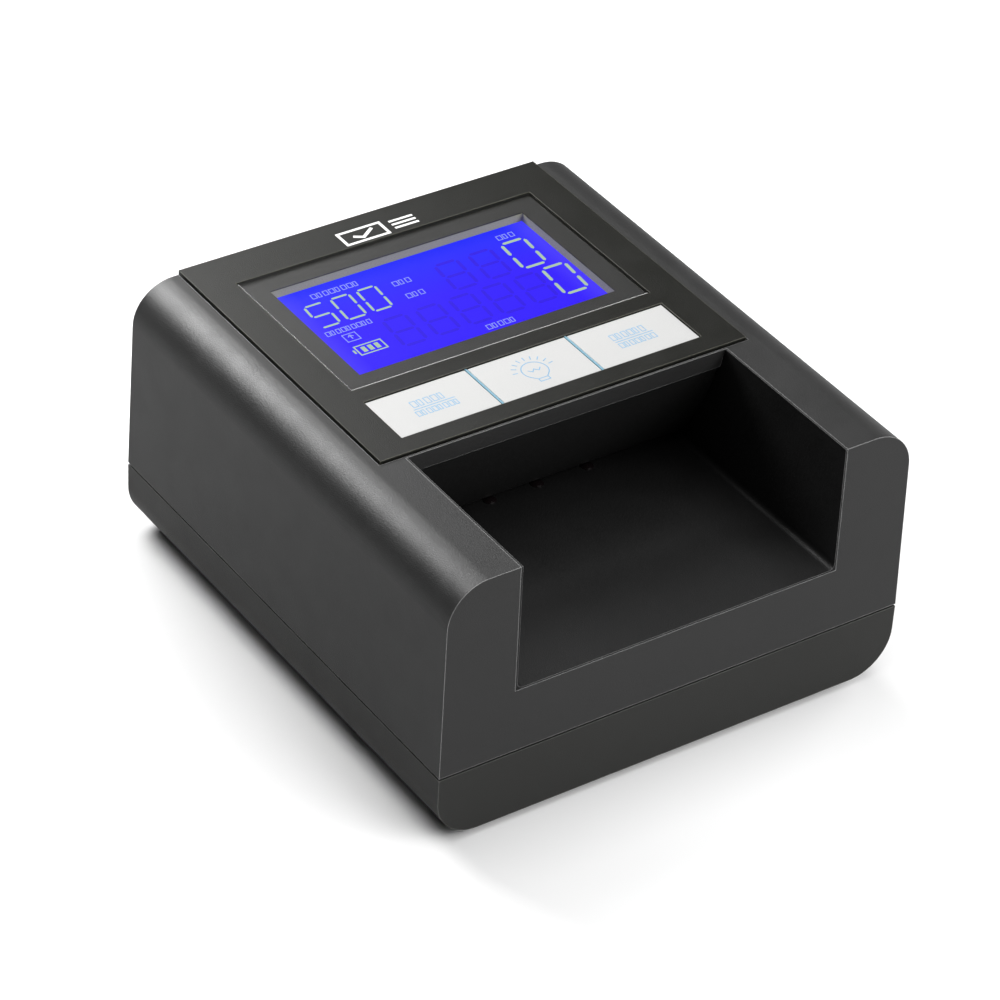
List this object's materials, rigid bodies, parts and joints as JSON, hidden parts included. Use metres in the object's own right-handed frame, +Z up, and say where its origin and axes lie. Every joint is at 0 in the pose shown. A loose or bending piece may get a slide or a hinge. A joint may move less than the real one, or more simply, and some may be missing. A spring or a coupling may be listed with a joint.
{
  "type": "counterfeit bill detector",
  "caption": "Countertop banknote checker: a note laid in the front pocket is drawn past sensors under a backlit display and leaves at the rear.",
  "frame": {"origin": "centre of the footprint on the table surface, under the rubber feet", "axes": "+X to the user's right, +Y from the front pocket to the rear exit, +Z up"},
  "size_m": [0.125, 0.135, 0.0702],
  "materials": {
    "casing_upper": "fine texture, satin",
    "casing_base": "fine texture, satin",
    "pocket_black": "smooth matte black",
    "panel_plastic": "fine matte texture",
    "window_clear": "clear",
    "window_print": "printed grey border",
    "lcd_frame_plastic": "satin grey",
    "lcd_blue": "backlit blue display",
    "backlight_white": "white diffuser",
    "key_plastic": "satin off-white",
    "divider_plastic": "light blue strip",
    "circuit_board": "green solder mask",
    "chip_black": "moulded black",
    "rocker_black": "gloss black",
    "ribbon_grey": "flat cable",
    "harness_red": "wire insulation",
    "bright_steel": "ground bright",
    "black_steel": "black zinc",
    "tin_plate": "tin-plated sheet",
    "spring_bronze": "rolled strip",
    "bush_bronze": "sintered bronze",
    "pinion_brass": "machined",
    "gear_acetal": "natural acetal",
    "roller_rubber": "ground rubber",
    "idler_plastic": "white acetal",
    "encoder_black": "thin black sheet",
    "cell_sleeve": "shrink sleeve",
    "sensor_lens": "dark infrared filter",
    "head_metal": "polished alloy",
    "foot_rubber": "soft rubber"
  },
  "bodies": {
    "casing": {"upper_shell": "casing_upper", "base_shell": "casing_base", "pocket_liner": "pocket_black", "lower_guide": "pocket_black", "sensor_head": "pocket_black", "top_panel": "panel_plastic", "display_window": "window_clear", "window_border": "window_print", "lcd_frame": "lcd_frame_plastic", "lcd_glass": "lcd_blue", "lcd_backlight": "backlight_white", "key_dividers": "divider_plastic", "display_board": "circuit_board", "sensor_board": "circuit_board", "main_board": "circuit_board", "power_board": "circuit_board", "main_board_chips": "chip_black", "board_header": "chip_black", "buzzer": "chip_black", "encoder_sensor": "chip_black", "dc_jack": "chip_black", "switch_housing": "chip_black", "ribbon_cable": "ribbon_grey", "power_harness": "harness_red", "gear_studs": "bright_steel", "gear_clips": "bright_steel", "display_board_screws": "bright_steel", "guide_screws": "bright_steel", "head_screws": "bright_steel", "case_screws": "black_steel", "motor": "tin_plate", "usb_port": "tin_plate", "key_switches": "tin_plate", "battery_contacts": "tin_plate", "idler_springs": "spring_bronze", "shaft_bushes": "bush_bronze", "battery_pack": "cell_sleeve", "sensor_windows": "sensor_lens", "magnetic_head": "head_metal", "rubber_feet": "foot_rubber"},
    "left_key_body": {"left_key": "key_plastic"},
    "light_key_body": {"light_key": "key_plastic"},
    "right_key_body": {"right_key": "key_plastic"},
    "rocker_body": {"power_rocker": "rocker_black"},
    "door_body": {"battery_door": "casing_base"},
    "front_drive": {"front_shaft": "bright_steel", "front_shaft_gear": "gear_acetal", "front_drive_rollers": "roller_rubber"},
    "rear_drive": {"rear_shaft": "bright_steel", "rear_shaft_gear": "gear_acetal", "rear_drive_rollers": "roller_rubber", "encoder_disc": "encoder_black"},
    "middle_gear_body": {"middle_gear": "gear_acetal"},
    "compound_gear_body": {"compound_gear": "gear_acetal"},
    "motor_rotor": {"motor_shaft": "bright_steel", "motor_pinion": "pinion_brass"},
    "front_idler": {"front_idler_axle": "bright_steel", "front_idler_rollers": "idler_plastic"},
    "rear_idler": {"rear_idler_axle": "bright_steel", "rear_idler_rollers": "idler_plastic"}
  },
  "joints": [
    {"name": "left_key_press", "type": "slide", "parent": "casing", "child": "left_key_body", "axis": [0, 0, -1], "range_m": [0, 0.0006], "stiffness_N_per_m": 600, "springref_m": -0.0005},
    {"name": "light_key_press", "type": "slide", "parent": "casing", "child": "light_key_body", "axis": [0, 0, -1], "range_m": [0, 0.0006], "stiffness_N_per_m": 600, "springref_m": -0.0005},
    {"name": "right_key_press", "type": "slide", "parent": "casing", "child": "right_key_body", "axis": [0, 0, -1], "range_m": [0, 0.0006], "stiffness_N_per_m": 600, "springref_m": -0.0005},
    {"name": "power_rocker_tilt", "type": "hinge", "parent": "casing", "child": "rocker_body", "pos_m": [0.0435, 0.0633, 0.012], "axis": [0, 0, 1], "range_deg": [0, 16]},
    {"name": "battery_door_slide", "type": "slide", "parent": "casing", "child": "door_body", "axis": [0, 1, 0], "range_m": [0, 0.047]},
    {"name": "front_drive_spin", "type": "hinge", "parent": "casing", "child": "front_drive", "pos_m": [0, 0.008, 0.0315], "axis": [1, 0, 0], "continuous": true},
    {"name": "rear_drive_spin", "type": "hinge", "parent": "casing", "child": "rear_drive", "pos_m": [0, 0.044, 0.0315], "axis": [1, 0, 0], "continuous": true},
    {"name": "middle_gear_spin", "type": "hinge", "parent": "casing", "child": "middle_gear_body", "pos_m": [0, 0.026, 0.0315], "axis": [1, 0, 0], "continuous": true},
    {"name": "compound_gear_spin", "type": "hinge", "parent": "casing", "child": "compound_gear_body", "pos_m": [0, 0.026, 0.0191], "axis": [1, 0, 0], "continuous": true},
    {"name": "motor_spin", "type": "hinge", "parent": "casing", "child": "motor_rotor", "pos_m": [0, 0.01379, 0.0131], "axis": [1, 0, 0], "continuous": true},
    {"name": "front_idler_spin", "type": "hinge", "parent": "casing", "child": "front_idler", "pos_m": [0, 0.008, 0.0427], "axis": [1, 0, 0], "continuous": true},
    {"name": "rear_idler_spin", "type": "hinge", "parent": "casing", "child": "rear_idler", "pos_m": [0, 0.044, 0.0427], "axis": [1, 0, 0], "continuous": true}
  ],
  "couplings": [
    {"joint": "rear_drive_spin", "follows": "front_drive_spin", "ratio": 1},
    {"joint": "middle_gear_spin", "follows": "front_drive_spin", "ratio": -1.1429},
    {"joint": "compound_gear_spin", "follows": "front_drive_spin", "ratio": 2.4},
    {"joint": "motor_spin", "follows": "front_drive_spin", "ratio": -5.76},
    {"joint": "front_idler_spin", "follows": "front_drive_spin", "ratio": -1.2},
    {"joint": "rear_idler_spin", "follows": "front_drive_spin", "ratio": -1.2}
  ]
}
